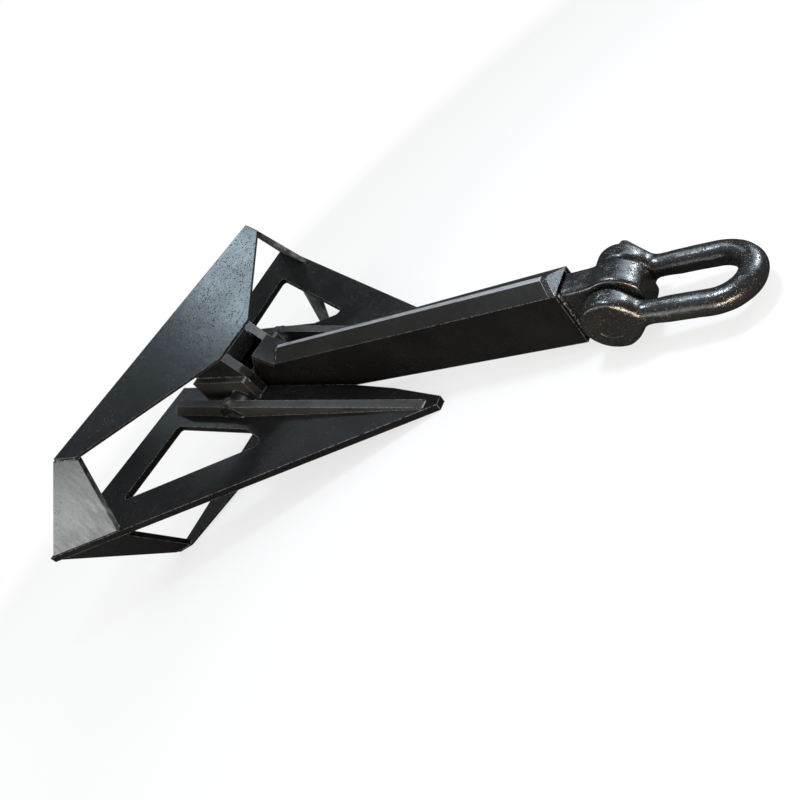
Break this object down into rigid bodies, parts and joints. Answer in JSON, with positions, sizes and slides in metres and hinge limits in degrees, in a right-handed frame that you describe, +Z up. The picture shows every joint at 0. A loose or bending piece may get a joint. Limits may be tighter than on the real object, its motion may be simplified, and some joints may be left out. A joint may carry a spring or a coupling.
{
  "type": "hinged fluke anchor",
  "caption": "Hinged fluke anchor with delta flukes, palms above and below, a boxed shank that swings at the crown, and an end shackle for the chain.",
  "frame": {"origin": "on the floor the anchor stands on, in the middle of its length and width", "axes": "+X level, from the crown towards the fluke tips and the shackle; +Y to port, along the hinge pin; +Z up from the floor"},
  "size_m": [4.3949, 3.3, 1.1872],
  "materials": {
    "black_plate": "glossy black anticorrosion paint over plate, worn grey along edges and welds",
    "black_forging": "black paint over a rough forged skin",
    "bare_steel": "dull machined steel",
    "lead": "soft grey lead"
  },
  "bodies": {
    "fluke_frame": {"fluke_plate_port": "black_plate", "fluke_plate_starboard": "black_plate", "palm_upper": "black_plate", "palm_lower": "black_plate", "end_plate_upper_port": "black_plate", "end_plate_upper_starboard": "black_plate", "end_plate_lower_port": "black_plate", "end_plate_lower_starboard": "black_plate", "spine_rib_upper_port": "black_plate", "spine_rib_upper_starboard": "black_plate", "spine_rib_lower_port": "black_plate", "spine_rib_lower_starboard": "black_plate", "crown_cheek_port": "black_plate", "crown_cheek_starboard": "black_plate", "hinge_doubler_port": "black_plate", "hinge_doubler_starboard": "black_plate", "pin_boss_port": "black_plate", "pin_boss_starboard": "black_plate", "stop_bar_upper": "black_plate", "stop_bar_lower": "black_plate", "crown_web": "black_plate", "hinge_pin": "bare_steel", "lock_bolts": "bare_steel"},
    "shank": {"shank_side_port": "black_plate", "shank_side_starboard": "black_plate", "shank_cap_upper": "black_plate", "shank_cap_lower": "black_plate", "cap_heel_plate_upper": "black_plate", "cap_heel_plate_lower": "black_plate", "cap_end_plate_upper": "black_plate", "cap_end_plate_lower": "black_plate", "stop_plate_upper": "black_plate", "stop_plate_lower": "black_plate", "stop_web_upper": "black_plate", "stop_web_lower": "black_plate", "shank_diaphragms": "black_plate", "hinge_sleeve": "bare_steel", "shank_head": "black_forging"},
    "shackle": {"shackle_bow": "black_forging", "shackle_pin": "black_forging", "spile_pin": "bare_steel", "lead_plugs": "lead"}
  },
  "joints": [
    {"name": "crown_hinge", "type": "hinge", "parent": "fluke_frame", "child": "shank", "pos_m": [-1.22147, 0, 0.44356], "axis": [0, -1, 0], "range_deg": [-44.9, 27.1]},
    {"name": "shackle_swing", "type": "hinge", "parent": "shank", "child": "shackle", "pos_m": [1.62189, 0, 0.18596], "axis": [0, -1, 0], "range_deg": [-95, 105]}
  ]
}
